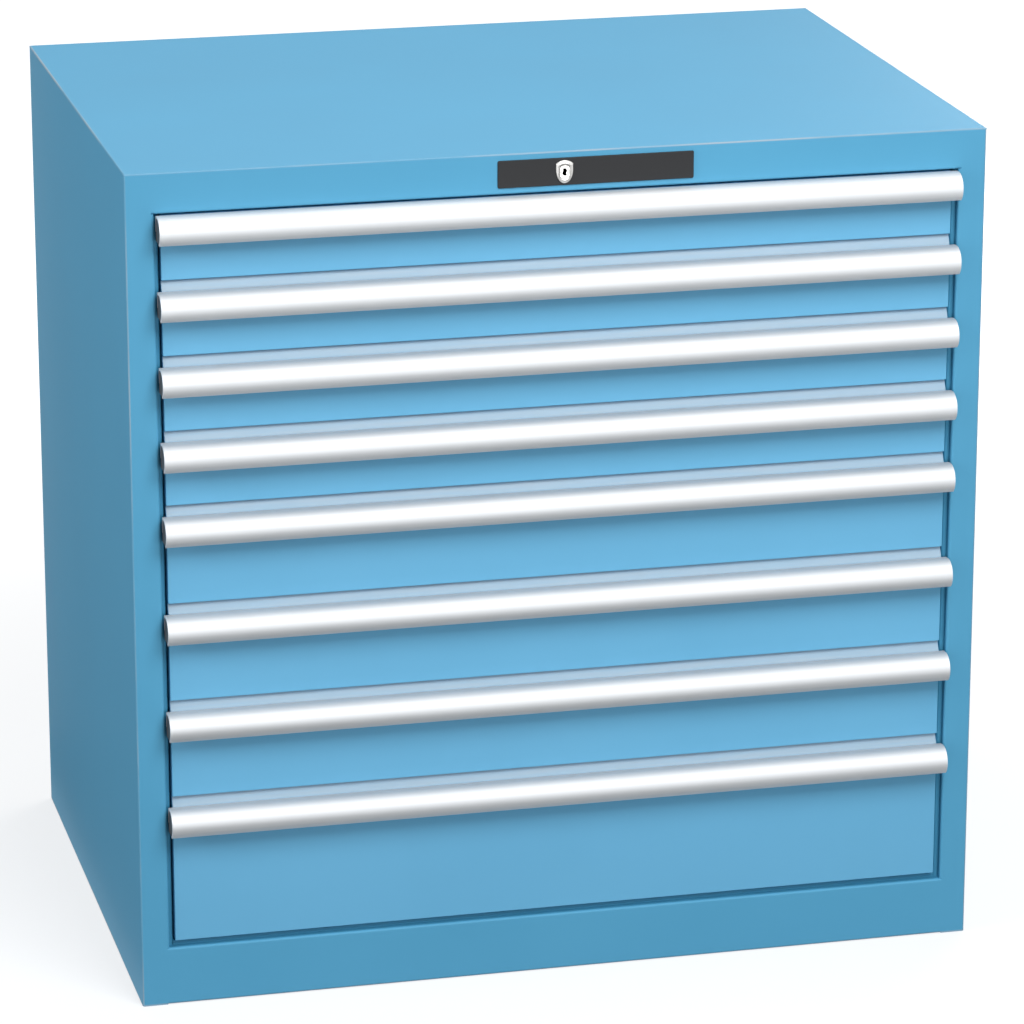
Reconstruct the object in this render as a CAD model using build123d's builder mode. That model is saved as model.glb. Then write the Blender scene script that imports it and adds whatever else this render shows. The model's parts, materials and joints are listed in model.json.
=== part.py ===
"""Workshop drawer cabinet in sheet steel.

A folded and welded housing carries eight drawers on two-stage roller slides. A key lock in the top
rail drives a rod and a toothed bar that hold every drawer shut. X runs to the right, Y to the back
and Z up. The origin is on the floor under the middle of the outline, handles included. Sizes are
millimetres.
"""

import os
from math import sqrt

from build123d import *

os.makedirs("parts", exist_ok=True)

# Housing sheets, with a frame that steps back behind the edges of the fronts
housing_width = 860.0
housing_depth = 615.0
housing_sheet = 1.5
inside_bend = 1.0
stile_width = 28.0
stile_return = 25.0
rebate_width = 5.0
rebate_depth = 8.0
return_notch = 10.0
rear_flange = 20.0
lid_edge = 1.3
fascia_height = 40.0
fascia_return = 15.0
plinth_height = 60.0
plinth_foot = 45.0
plinth_shelf = 38.0
floor_lip = 12.0
floor_setback = 1.0
rear_foot = 42.0
anchor_hole = 11.0
anchor_inset = 70.0
anchor_setback = 25.0

# Heights of the drawer modules, a multiple of the 25 mm slot pitch in the columns
low_module = 75.0
middle_module = 100.0
deep_module = 150.0
slot_pitch = 25.0

# Drawer fronts, with a bevelled upper lip that leaves room for the fingers above each handle
front_recess = 2.5
front_sheet = 1.5
front_depth = 25.0
front_side_gap = 6.5
front_floor_gap = 6.5
front_joint = 1.2
bevel_rise = 9.0
bevel_run = 5.0

# Handle strip, an extrusion with a round nose, a slight dip behind it and a curled lip below
handle_projection = 24.0
handle_height = 30.0
handle_wall = 2.0
handle_dip = 1.0
handle_web = 16.0
handle_lip_angle = 55.0
handle_end_gap = 2.0
cap_depth = 10.0
cap_play = 0.1

# Trays
tray_sheet = 1.0
tray_floor_gap = 1.5
tray_head_gap = 2.5
tray_rear_space = 96.0

# Slides: a fixed channel, a link and a channel on the tray, with a roller and a glide in each channel
pass_gap = 6.0
slide_gap = 1.0
rail_depth = 13.0
rail_sheet = 1.5
rail_rise = 8.0
rail_setback = 3.0
rail_rear_space = 30.0
channel_rear_gap = 2.0
roller_diameter = 22.0
roller_play = 0.3
roller_face_play = 0.7
roller_spacing = 200.0
roller_inset = 14.0
roller_sides = 14
glide_length = 24.0
link_thickness = 4.0
link_height = 16.0
link_setback = 4.0
link_rear_gap = 6.0
stop_play = 0.5
stop_height = 12.0

# Slotted columns
column_width = 30.0
column_inset = 42.0
slot_width = 4.0
slot_height = 12.0
tongue_width = 3.0
tongue_height = 10.0
tongue_reach = 4.0

# Lock: cover, shield, barrel, plug, crank, rod and toothed bar
cover_short_side = 66.0
cover_long_side = 130.0
cover_height = 27.0
cover_thickness = 2.0
cover_edge = 0.6
cover_corner = 1.5
spigot_margin = 4.0
spigot_depth = 5.0
spigot_play = 0.4
shield_width = 17.2
shield_height = 23.0
shield_thickness = 2.0
shield_edge = 0.8
shield_shoulder = 8.3
shield_waist = 1.9
barrel_diameter = 12.6
barrel_flats = 9.0
barrel_play = 0.15
barrel_recess = 0.3
nut_diameter = 22.0
nut_thickness = 3.0
plug_diameter = 8.0
plug_play = 0.15
keyway_width = 2.4
keyway_height = 6.8
keyway_depth = 8.0
tang_width = 5.2
lock_throw = 12.0
crank_thickness = 3.0
crank_rim = 4.0
pin_diameter = 5.0
pin_play = 0.5
rod_height = 13.0
rod_thickness = 3.0
lock_layer_gap = 2.0
bar_width = 12.0
bar_thickness = 3.0
bar_setback = 3.0
bar_inset = 3.5
bar_floor_gap = 8.0
arm_reach = 8.0
plate_margin = 7.0
plate_rise = 3.0
catch_height = 8.0
catch_thickness = 3.0
catch_gap = 1.5
catch_clearance = 1.0
strike_height = 10.0
strike_thickness = 3.0
strike_gap = 1.0
strike_clearance = 1.5
guide_thickness = 3.0
guide_play = 0.4
guide_rim = 4.0
guide_offset = 45.0

# Planes and levels that follow from those sizes
half_width = housing_width / 2
inner_wall = half_width - housing_sheet
opening_half = half_width - stile_width
outside_bend = inside_bend + housing_sheet
butt_half = opening_half + outside_bend
inner_half = opening_half - rebate_width
shelf_level = plinth_height + rebate_width
overhang = handle_projection - front_recess
front_plane = (overhang - housing_depth) / 2
rear_plane = front_plane + housing_depth
rear_face = rear_plane - housing_sheet
drawer_face = front_plane + front_recess
module_heights = 4 * [low_module] + 3 * [middle_module] + [deep_module]
opening_top = plinth_height + sum(module_heights)
housing_height = opening_top + fascia_height
module_tops = [opening_top - sum(module_heights[:row]) for row in range(len(module_heights))]
module_bases = [top - height for top, height in zip(module_tops, module_heights)]
tray_rise = max(bevel_rise, front_floor_gap) + front_sheet + tray_floor_gap
tray_drop = front_joint + front_sheet + tray_head_gap
front_half = opening_half - front_side_gap
handle_half = opening_half - handle_end_gap

# Slide stack, measured inwards from the frame's inner edge
link_outer = inner_half - pass_gap
link_inner = link_outer - link_thickness
fixed_mouth = link_outer + slide_gap
column_face = fixed_mouth + rail_depth
moving_mouth = link_inner - slide_gap
tray_half = moving_mouth - rail_depth
rail_height = roller_diameter + 2 * roller_play + 2 * rail_sheet
roller_width = slide_gap + rail_depth - rail_sheet - 2 * roller_face_play

# Lock layers, one behind the other
bar_front = front_plane + stile_return + bar_setback
bar_back = bar_front + bar_thickness
catch_back = bar_back + catch_thickness
strike_front = catch_back + strike_gap
strike_back = strike_front + strike_thickness
rod_back = bar_front - lock_layer_gap
rod_front = rod_back - rod_thickness
crank_back = rod_front - lock_layer_gap
crank_front = crank_back - crank_thickness
cover_front = front_plane - cover_thickness
shield_front = cover_front - shield_thickness
lock_level = opening_top + fascia_height / 2
crank_radius = lock_throw / sqrt(2)
crank_side = crank_radius / sqrt(2)
rod_level = lock_level - (crank_radius + crank_side) / 2
pin_side = opening_half - arm_reach
pin_level = rod_level + plate_rise - lock_throw / 2
bar_left = opening_half + bar_inset
bar_right = bar_left + bar_width
catch_tip = link_outer + catch_clearance
strike_tip = inner_half - strike_clearance

# Lengths along the drawers' travel
tray_front = drawer_face + front_sheet
tray_back = rear_face - tray_rear_space
rail_front = strike_back + rail_setback
rail_back = rear_face - rail_rear_space
link_front = rail_front + link_setback
link_back = rail_back - link_rear_gap
moving_back = tray_back - channel_rear_gap
fixed_roller = link_back - roller_inset
moving_roller = link_front + roller_inset
roller_faces = [link_outer, link_inner - roller_width]
runner_places = [
    (fixed_roller, fixed_roller - roller_spacing),
    (moving_roller, moving_roller + roller_spacing),
]
column_rows = [rail_front + column_inset, rail_back - column_inset]


def save(shape, name):
    """Label one finished piece and write it to a STEP file of that name."""
    shape.label = name
    export_step(shape, f"parts/{name}.step")


def facing_front(y):
    """Plane at depth y whose normal points out of the cabinet's front."""
    return Plane.XZ.offset(-y)


def flatted_round(diameter, across):
    """Sketch a round with two upright flats, the section of the lock's barrel and its openings."""
    Circle(diameter / 2)
    Rectangle(across, diameter, mode=Mode.INTERSECT)


# Right side panel: wall, stepped front stile with its return and rear flange, folded from one sheet
with BuildPart() as right_side:
    with BuildSketch():
        with BuildLine():
            fold = FilletPolyline(
                (inner_half, front_plane + stile_return),
                (inner_half, front_plane + rebate_depth),
                (opening_half, front_plane + rebate_depth),
                (opening_half, front_plane),
                (half_width, front_plane),
                (half_width, rear_plane),
                (half_width - rear_flange, rear_plane),
                radius=(outside_bend, 0, outside_bend, outside_bend, outside_bend),
            )
            offset(fold, amount=housing_sheet, side=Side.LEFT, kind=Kind.INTERSECTION)
        make_face()
    extrude(amount=housing_height - housing_sheet)
    # The stile's return is cut back behind the top rail to let the lock rod through
    with BuildSketch(Plane.XY.offset(opening_top - return_notch)):
        with Locations((inner_half, front_plane + fascia_return)):
            Rectangle(4 * housing_sheet, 2 * stile_return, align=(Align.CENTER, Align.MIN))
    extrude(amount=fascia_height + return_notch, mode=Mode.SUBTRACT)
    # The stile's fold stops at the top rail and at the plinth, which are butt welded to its flat front
    for level, height in ((opening_top, fascia_height), (0, plinth_height)):
        with BuildSketch(Plane.XY.offset(level)):
            with Locations((butt_half, front_plane)):
                Rectangle(
                    2 * outside_bend + rebate_width,
                    2 * stile_return + outside_bend,
                    align=(Align.MAX, Align.CENTER),
                )
        extrude(amount=height, mode=Mode.SUBTRACT)
save(right_side.part, "right_side_panel")

with BuildPart() as left_side:
    mirror(right_side.part, about=Plane.YZ)
save(left_side.part, "left_side_panel")

# Top panel: lid sheet with the top rail folded down between the stiles
with BuildPart() as top_panel:
    with BuildSketch(Plane.YZ):
        with BuildLine():
            fold = FilletPolyline(
                (front_plane + fascia_return, opening_top),
                (front_plane, opening_top),
                (front_plane, housing_height),
                (rear_plane, housing_height),
                radius=(outside_bend, 0),
            )
            offset(fold, amount=housing_sheet, side=Side.RIGHT, kind=Kind.INTERSECTION)
        make_face()
    extrude(amount=butt_half, both=True)
    with BuildSketch(Plane.XY.offset(housing_height - housing_sheet)):
        with Locations((0, (front_plane + rear_plane) / 2)):
            Rectangle(housing_width, housing_depth)
    extrude(amount=housing_sheet)
    fillet(top_panel.faces().sort_by(Axis.Z)[-1].edges(), radius=lid_edge)
    with BuildSketch(facing_front(front_plane + 2 * housing_sheet)):
        with Locations(((cover_long_side - cover_short_side) / 2, lock_level)):
            Rectangle(
                cover_long_side + cover_short_side - 2 * spigot_margin + 2 * spigot_play,
                cover_height - 2 * spigot_margin + 2 * spigot_play,
            )
    extrude(amount=4 * housing_sheet, mode=Mode.SUBTRACT)
save(top_panel.part, "top_panel")

# Rear panel, inside the side panels' flanges, with a foot on the floor
with BuildPart() as rear_panel:
    with BuildSketch(Plane.YZ):
        with BuildLine():
            fold = FilletPolyline(
                (rear_face - rear_foot, 0),
                (rear_face, 0),
                (rear_face, housing_height - housing_sheet),
                radius=outside_bend,
            )
            offset(fold, amount=housing_sheet, side=Side.LEFT)
        make_face()
    extrude(amount=inner_wall - inside_bend, both=True)
    with BuildSketch():
        with Locations((0, rear_face - anchor_setback)):
            with GridLocations(2 * (half_width - anchor_inset), 0, 2, 1):
                Circle(anchor_hole / 2)
    extrude(amount=housing_sheet, mode=Mode.SUBTRACT)
save(rear_panel.part, "rear_panel")

# Plinth: foot, front face, a step and the shelf under the lowest drawer
with BuildPart() as plinth:
    with BuildSketch(Plane.YZ):
        with BuildLine():
            fold = FilletPolyline(
                (front_plane + plinth_foot, 0),
                (front_plane, 0),
                (front_plane, plinth_height),
                (front_plane + rebate_depth, plinth_height),
                (front_plane + rebate_depth, shelf_level),
                (front_plane + plinth_shelf, shelf_level),
                radius=(outside_bend, outside_bend, 0, outside_bend),
            )
            offset(fold, amount=housing_sheet, side=Side.RIGHT, kind=Kind.INTERSECTION)
        make_face()
    extrude(amount=butt_half, both=True)
    # The raised shelf ends at the stiles' returns
    with BuildSketch(Plane.XY.offset(plinth_height)):
        with Locations((0, front_plane)):
            with GridLocations(2 * butt_half, 0, 2, 1):
                Rectangle(
                    2 * (butt_half - inner_half),
                    2 * plinth_shelf,
                    align=(Align.CENTER, Align.MIN),
                )
    extrude(amount=2 * rebate_width, mode=Mode.SUBTRACT)
    with BuildSketch():
        with Locations((0, front_plane + anchor_setback)):
            with GridLocations(2 * (half_width - anchor_inset), 0, 2, 1):
                Circle(anchor_hole / 2)
    extrude(amount=housing_sheet, mode=Mode.SUBTRACT)
save(plinth.part, "plinth")

# Floor panel, under the plinth's shelf and between the side panels
floor_top = shelf_level - housing_sheet
floor_front = front_plane + stile_return + floor_setback
with BuildPart() as floor_panel:
    with BuildSketch(Plane.YZ):
        with BuildLine():
            fold = Polyline(
                (floor_front, floor_top - floor_lip),
                (floor_front, floor_top),
                (rear_face - housing_sheet, floor_top),
                (rear_face - housing_sheet, floor_top - floor_lip),
            )
            offset(fold, amount=housing_sheet, side=Side.RIGHT, kind=Kind.INTERSECTION)
        make_face()
    extrude(amount=inner_wall, both=True)
save(floor_panel.part, "floor_panel")

# Slotted columns: four channels on the side panels, the front pair slotted at the modules' pitch
rail_levels = [base + tray_rise + rail_rise for base in module_bases]
slot_levels = [
    level + rail_height / 2 + step * slot_pitch
    for level, height in zip(rail_levels, module_heights)
    for step in range(int(height // slot_pitch))
]
with BuildPart() as columns:
    with BuildSketch(Plane.XY.offset(floor_top)):
        for row in column_rows:
            with BuildLine():
                fold = Polyline(
                    (inner_wall, row - column_width / 2),
                    (column_face, row - column_width / 2),
                    (column_face, row + column_width / 2),
                    (inner_wall, row + column_width / 2),
                )
                offset(fold, amount=housing_sheet, side=Side.RIGHT, kind=Kind.INTERSECTION)
            make_face()
    extrude(amount=opening_top - floor_top)
    with BuildSketch(Plane.YZ.offset(column_face)):
        with Locations(*[(column_rows[0], level) for level in slot_levels]):
            Rectangle(slot_width, slot_height)
        with Locations(*[(column_rows[1], level + rail_height / 2) for level in rail_levels]):
            Rectangle(slot_width, slot_height)
    extrude(amount=housing_sheet, mode=Mode.SUBTRACT)
    mirror(about=Plane.YZ)
save(columns.part, "runner_columns")

# Fixed rails: one channel per drawer and side, hooked into the columns by two tongues
with BuildPart() as right_rails:
    with BuildSketch(facing_front(rail_front)):
        for level in rail_levels:
            with BuildLine():
                fold = Polyline(
                    (fixed_mouth, level),
                    (column_face, level),
                    (column_face, level + rail_height),
                    (fixed_mouth, level + rail_height),
                )
                offset(fold, amount=rail_sheet, side=Side.LEFT, kind=Kind.INTERSECTION)
            make_face()
    extrude(amount=rail_front - rail_back)
    with BuildSketch(Plane.YZ.offset(column_face)):
        with Locations(*[(row, level + rail_height / 2) for row in column_rows for level in rail_levels]):
            Rectangle(tongue_width, tongue_height)
    extrude(amount=tongue_reach)
save(right_rails.part, "right_rails")

with BuildPart() as left_rails:
    mirror(right_rails.part, about=Plane.YZ)
save(left_rails.part, "left_rails")

# Rubber stops at the back of the fixed rails, just behind the rollers
stop_front = fixed_roller + roller_diameter / 2 + stop_play
with BuildPart() as stops:
    with BuildSketch(facing_front(stop_front)):
        for level in rail_levels:
            with Locations((column_face - rail_sheet, level + rail_height / 2)):
                Rectangle(rail_depth - 2 * rail_sheet, stop_height, align=(Align.MAX, Align.CENTER))
    extrude(amount=stop_front - rail_back)
    mirror(about=Plane.YZ)
save(stops.part, "rail_stops")

# Drawers, numbered from the top
for number, (top, base) in enumerate(zip(module_tops, module_bases), start=1):
    tray_bottom = base + tray_rise
    tray_top = top - tray_drop
    rail_level = tray_bottom + rail_rise
    roller_level = rail_level + rail_height / 2
    handle_top = top - front_joint
    is_first = number == 1
    is_last = number == len(module_tops)
    front_bottom = base + (front_floor_gap if is_last else bevel_rise)

    # Open tray with its two moving channels and the strike that the lock bar holds
    with BuildPart() as tray:
        with BuildSketch(Plane.XY.offset(tray_bottom)):
            with Locations((0, (tray_front + tray_back) / 2)):
                Rectangle(2 * tray_half, tray_back - tray_front)
        extrude(amount=tray_top - tray_bottom)
        offset(amount=-tray_sheet, openings=tray.faces().sort_by(Axis.Z)[-1])
    with BuildPart() as channels:
        with BuildSketch(facing_front(rail_front)):
            with BuildLine():
                fold = Polyline(
                    (moving_mouth, rail_level),
                    (tray_half, rail_level),
                    (tray_half, rail_level + rail_height),
                    (moving_mouth, rail_level + rail_height),
                )
                offset(fold, amount=rail_sheet, side=Side.RIGHT, kind=Kind.INTERSECTION)
            make_face()
        extrude(amount=rail_front - moving_back)
        mirror(about=Plane.YZ)
    with BuildPart() as strike:
        with BuildSketch(facing_front(strike_back)):
            with Locations((tray_half, tray_top)):
                Rectangle(strike_tip - tray_half, strike_height, align=(Align.MIN, Align.MAX))
        extrude(amount=strike_thickness)
    save(Compound(children=[tray.part, channels.part, strike.part]), f"drawer_{number}_tray")

    # Front: a shallow pan with folded edges, bevelled above the handle except under the top rail
    front_top = handle_top if is_first else handle_top + bevel_rise
    bevel = [] if is_first else [(drawer_face + bevel_run, front_top)]
    with BuildPart() as front:
        with BuildSketch(Plane.YZ):
            with BuildLine():
                Polyline(
                    (drawer_face, front_bottom),
                    (drawer_face, handle_top),
                    *bevel,
                    (drawer_face + front_depth, front_top),
                    (drawer_face + front_depth, front_bottom),
                    close=True,
                )
            make_face()
        extrude(amount=front_half, both=True)
        offset(amount=-front_sheet, openings=front.faces().sort_by(Axis.Y)[-1], kind=Kind.INTERSECTION)
    save(front.part, f"drawer_{number}_front")

    # Handle strip: a round grip with a mounting web behind and a curled lip below
    nose_radius = handle_height / 2
    nose_centre = (drawer_face - handle_projection + nose_radius, handle_top - nose_radius)
    nose_sweep = 90 + handle_lip_angle
    web_face = drawer_face - handle_wall
    web_bottom = handle_top - handle_web
    with BuildPart() as handle:
        with BuildSketch(Plane.YZ):
            with BuildLine():
                outer = CenterArc(nose_centre, nose_radius, 90, nose_sweep)
                inner = CenterArc(nose_centre, nose_radius - handle_wall, 90, nose_sweep)
                outer_dip = TangentArc(outer @ 0, (drawer_face, handle_top - handle_dip), tangent=(1, 0))
                inner_dip = TangentArc(
                    inner @ 0, (web_face, handle_top - handle_dip - handle_wall), tangent=(1, 0)
                )
                Line(outer @ 1, inner @ 1)
                Polyline(inner_dip @ 1, (web_face, web_bottom), (drawer_face, web_bottom), outer_dip @ 1)
            make_face()
        extrude(amount=handle_half, both=True)
    save(handle.part, f"drawer_{number}_handle")

    # End caps, pushed into both ends of the strip and flush with it
    cap_back = web_face - cap_play
    cap_radius = nose_radius - handle_wall - cap_play
    with BuildPart() as caps:
        with BuildSketch(Plane.YZ.offset(handle_half - cap_depth)):
            with BuildLine():
                curve = CenterArc(nose_centre, cap_radius, 90, nose_sweep)
                dip = Line(curve @ 0, (cap_back, handle_top - handle_dip - handle_wall - cap_play))
                Polyline(
                    dip @ 1,
                    (cap_back, web_bottom - cap_play),
                    (drawer_face - cap_play, web_bottom - cap_play),
                    (drawer_face - cap_play, (curve @ 1).Y),
                    curve @ 1,
                )
            make_face()
        extrude(amount=cap_depth)
        mirror(about=Plane.YZ)
    save(caps.part, f"drawer_{number}_caps")

    # Slides: a link on each side, with a roller and a glide in the fixed rail and in the tray's channel
    with BuildPart() as links:
        with BuildSketch(Plane.YZ.offset(link_inner)):
            with Locations(((link_front + link_back) / 2, roller_level)):
                Rectangle(link_back - link_front, link_height)
        extrude(amount=link_thickness)
        mirror(about=Plane.YZ)
    with BuildPart() as rollers:
        for inner_face, (roller_at, glide_at) in zip(roller_faces, runner_places):
            with BuildSketch(Plane.YZ.offset(inner_face)):
                with Locations((roller_at, roller_level)):
                    RegularPolygon(roller_diameter / 2, roller_sides)
                with Locations((glide_at, roller_level)):
                    Rectangle(glide_length, roller_diameter)
            extrude(amount=roller_width)
        mirror(about=Plane.YZ)
    save(Compound(children=[links.part, rollers.part]), f"drawer_{number}_slides")

# Lock cover: a plate on the top rail with a spigot through its opening
cover_middle = (cover_long_side - cover_short_side) / 2
cover_length = cover_long_side + cover_short_side
with BuildPart() as cover:
    with BuildSketch(facing_front(front_plane)):
        with Locations((cover_middle, lock_level)):
            RectangleRounded(cover_length, cover_height, radius=cover_corner)
    extrude(amount=cover_thickness)
    chamfer(cover.faces().sort_by(Axis.Y)[0].edges(), length=cover_edge)
    with BuildSketch(facing_front(front_plane)):
        with Locations((cover_middle, lock_level)):
            Rectangle(cover_length - 2 * spigot_margin, cover_height - 2 * spigot_margin)
    extrude(amount=-spigot_depth)
    with BuildSketch(facing_front(cover_front)):
        with Locations((0, lock_level)):
            flatted_round(barrel_diameter + 2 * barrel_play, barrel_flats + 2 * barrel_play)
    extrude(amount=-cover_thickness - spigot_depth, mode=Mode.SUBTRACT)
save(cover.part, "lock_cover")

# Shield round the key: arched top, upright sides, a half ellipse below and the barrel's opening
with BuildPart() as shield:
    with BuildSketch(facing_front(cover_front)):
        with BuildLine():
            shoulder = lock_level + shield_shoulder
            waist = lock_level + shield_waist
            crown = lock_level + shield_height / 2
            side = shield_width / 2
            ThreePointArc((-side, shoulder), (0, crown), (side, shoulder))
            Line((side, shoulder), (side, waist))
            EllipticalCenterArc((0, waist), side, shield_height / 2 + shield_waist, 180, arc_size=180)
            Line((-side, waist), (-side, shoulder))
        make_face()
    extrude(amount=shield_thickness)
    chamfer(shield.faces().sort_by(Axis.Y)[0].edges(), length=shield_edge)
    with BuildSketch(facing_front(shield_front)):
        with Locations((0, lock_level)):
            flatted_round(barrel_diameter + 2 * barrel_play, barrel_flats + 2 * barrel_play)
    extrude(amount=-shield_thickness, mode=Mode.SUBTRACT)
save(shield.part, "lock_shield")

# Barrel: a flatted tube through the shield and the cover, held by a nut behind the spigot
barrel_back = crank_front - plug_play
with BuildPart() as barrel:
    with BuildSketch(facing_front(barrel_back)):
        with Locations((0, lock_level)):
            flatted_round(barrel_diameter, barrel_flats)
    extrude(amount=barrel_back - shield_front - barrel_recess)
    with BuildSketch(facing_front(front_plane + spigot_depth)):
        with Locations((0, lock_level)):
            RegularPolygon(nut_diameter / 2, 6)
    extrude(amount=-nut_thickness)
    with BuildSketch(facing_front(barrel_back)):
        with Locations((0, lock_level)):
            Circle(plug_diameter / 2 + plug_play)
    extrude(amount=barrel_back - shield_front, mode=Mode.SUBTRACT)
save(barrel.part, "lock_barrel")

# Plug with an upright, winding keyway and a square tang behind
keyway_shares = [
    (-0.5, 0.5), (0.3, 0.5), (0.3, 0.28), (0.0, 0.2), (0.5, 0.02), (0.1, -0.12),
    (0.5, -0.3), (0.0, -0.5), (-0.5, -0.5), (-0.1, -0.28), (-0.4, -0.12), (-0.1, 0.04), (-0.5, 0.22),
]
keyway_outline = [
    (keyway_width * across, lock_level + keyway_height * up) for across, up in keyway_shares
]
with BuildPart() as plug:
    with BuildSketch(facing_front(barrel_back)):
        with Locations((0, lock_level)):
            Circle(plug_diameter / 2)
    extrude(amount=barrel_back - shield_front - barrel_recess)
    with BuildSketch(facing_front(barrel_back)):
        with Locations((0, lock_level)):
            Rectangle(tang_width, tang_width)
    extrude(amount=barrel_back - crank_back)
    with BuildSketch(facing_front(shield_front)):
        with BuildLine():
            Polyline(*keyway_outline, close=True)
        make_face()
    extrude(amount=-keyway_depth, mode=Mode.SUBTRACT)
save(plug.part, "lock_plug")

# Crank on the tang, its pin low on the right while the drawers are free
with BuildPart() as crank:
    with BuildSketch(facing_front(crank_back)):
        with Locations((0, lock_level)):
            Circle(crank_radius + crank_rim)
            Rectangle(tang_width + plug_play, tang_width + plug_play, mode=Mode.SUBTRACT)
    extrude(amount=crank_thickness)
    with BuildSketch(facing_front(crank_back)):
        with Locations((crank_side, lock_level - crank_side)):
            Circle(pin_diameter / 2)
    extrude(amount=crank_back - rod_back - lock_layer_gap / 2)
save(crank.part, "lock_crank")

# Rod: a yoke slot for the crank pin on the left, a slanted slot for the bar's pin on the right
with BuildPart() as rod:
    with BuildSketch(facing_front(rod_back)):
        rod_left = crank_side - pin_diameter - pin_play - plate_margin
        with Locations((rod_left, rod_level)):
            Rectangle(pin_side - rod_left, rod_height, align=(Align.MIN, Align.CENTER))
        with Locations((pin_side + lock_throw / 2, pin_level + lock_throw / 2)):
            Rectangle(lock_throw + 2 * plate_margin, lock_throw + 2 * plate_margin)
        with Locations((crank_side, rod_level)):
            Rectangle(
                pin_diameter + 2 * pin_play,
                pin_diameter + 2 * pin_play + crank_radius - crank_side,
                mode=Mode.SUBTRACT,
            )
        with Locations((pin_side + lock_throw / 2, pin_level + lock_throw / 2)):
            SlotCenterToCenter(
                sqrt(2) * lock_throw, pin_diameter + 2 * pin_play, rotation=45, mode=Mode.SUBTRACT
            )
    extrude(amount=rod_thickness)
save(rod.part, "lock_rod")

# Locking bar behind the right stile, with an arm and a pin that the rod's slanted slot lifts
with BuildPart() as bar:
    with BuildSketch(facing_front(bar_back)):
        bar_bottom = plinth_height + bar_floor_gap
        arm_half = rod_height / 2
        with Locations((bar_left, bar_bottom)):
            Rectangle(bar_width, pin_level - bar_bottom, align=(Align.MIN, Align.MIN))
        with Locations((bar_right, pin_level)):
            Rectangle(bar_right - pin_side + arm_half, 2 * arm_half, align=(Align.MAX, Align.CENTER))
    extrude(amount=bar_thickness)
    with BuildSketch(facing_front(bar_front)):
        with Locations((pin_side, pin_level)):
            Circle(pin_diameter / 2)
    extrude(amount=bar_front - rod_front + lock_layer_gap / 2)
save(bar.part, "locking_bar")

# Catches riveted to the bar, each just below its drawer's strike while the drawers are free
with BuildPart() as catches:
    with BuildSketch(facing_front(catch_back)):
        for top in module_tops:
            catch_top = top - tray_drop - strike_height - catch_gap
            with Locations((catch_tip, catch_top)):
                Rectangle(bar_right - catch_tip, catch_height, align=(Align.MIN, Align.MAX))
    extrude(amount=catch_thickness)
save(catches.part, "lock_catches")

# Guides: two plates on the top rail for the rod, four on the right side panel for the bar
with BuildPart() as guides:
    guide_front = front_plane + housing_sheet
    guide_base = opening_top + outside_bend
    guide_depth = rod_back + guide_rim - guide_front
    guide_tall = rod_level + rod_height / 2 + guide_rim - guide_base
    for side in (cover_long_side + guide_offset, pin_side - guide_offset):
        with BuildSketch(Plane.YZ.offset(side)):
            with Locations((guide_front, guide_base)):
                Rectangle(guide_depth, guide_tall, align=(Align.MIN, Align.MIN))
            with Locations(((rod_front + rod_back) / 2, rod_level)):
                Rectangle(
                    rod_thickness + 2 * guide_play, rod_height + 2 * guide_play, mode=Mode.SUBTRACT
                )
        extrude(amount=guide_thickness)
    for row in (0, 3, 5, 7):
        with BuildSketch(Plane.XY.offset(module_bases[row] + bar_floor_gap + guide_thickness)):
            with Locations((inner_wall, front_plane + stile_return + guide_play)):
                Rectangle(
                    inner_wall - opening_half,
                    bar_back + guide_rim - front_plane - stile_return,
                    align=(Align.MAX, Align.MIN),
                )
            with Locations(((bar_left + bar_right) / 2, (bar_front + bar_back) / 2)):
                Rectangle(
                    bar_width + 2 * guide_play, bar_thickness + 2 * guide_play, mode=Mode.SUBTRACT
                )
        extrude(amount=guide_thickness)
save(guides.part, "lock_guides")
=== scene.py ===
# %% [markdown]
# # A workshop drawer cabinet
# The cabinet is a folded sheet steel housing with eight drawers, bright grip strips and a key lock in the
# top rail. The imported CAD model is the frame: every piece below is placed by its boxes, in metres, with X
# to the right, Y to the back and Z up. Sheet metal that is already right in the frame keeps its CAD mesh
# and gets a finish; whatever shows a curve, a fold or a cut-out up close is made again as a fine surface.

import json
import math

import bpy
import numpy as np
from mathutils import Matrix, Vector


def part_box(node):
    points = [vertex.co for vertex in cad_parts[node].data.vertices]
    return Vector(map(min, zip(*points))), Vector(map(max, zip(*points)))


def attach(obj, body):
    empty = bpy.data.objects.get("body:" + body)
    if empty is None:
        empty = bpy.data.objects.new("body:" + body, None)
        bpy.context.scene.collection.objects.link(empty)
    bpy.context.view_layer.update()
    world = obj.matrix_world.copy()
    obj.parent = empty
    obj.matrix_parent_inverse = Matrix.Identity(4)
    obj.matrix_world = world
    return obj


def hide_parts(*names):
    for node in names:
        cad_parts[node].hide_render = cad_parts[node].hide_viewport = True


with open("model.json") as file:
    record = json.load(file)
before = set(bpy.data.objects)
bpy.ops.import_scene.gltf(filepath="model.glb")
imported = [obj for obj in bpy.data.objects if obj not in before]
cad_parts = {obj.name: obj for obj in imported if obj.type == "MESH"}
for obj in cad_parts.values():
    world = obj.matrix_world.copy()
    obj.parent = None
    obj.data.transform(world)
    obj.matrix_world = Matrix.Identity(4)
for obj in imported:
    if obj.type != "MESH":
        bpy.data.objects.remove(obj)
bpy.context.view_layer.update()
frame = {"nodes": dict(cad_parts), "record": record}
MM = 0.001
drawers = sorted(int(name.split("_")[1]) for name in frame["nodes"] if name.endswith("_handle"))

# %% [markdown]
# ## The camera
# The picture is taken from the front left, a little above the top, with a long lens, so the edges that go
# back hardly draw together. The direction and distance come from the housing's corners in the picture. The
# camera's three axes are built from its azimuth and elevation. It is aimed at the housing's middle, moved a
# little to the right and down, which frames the cabinet as the picture does.

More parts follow.
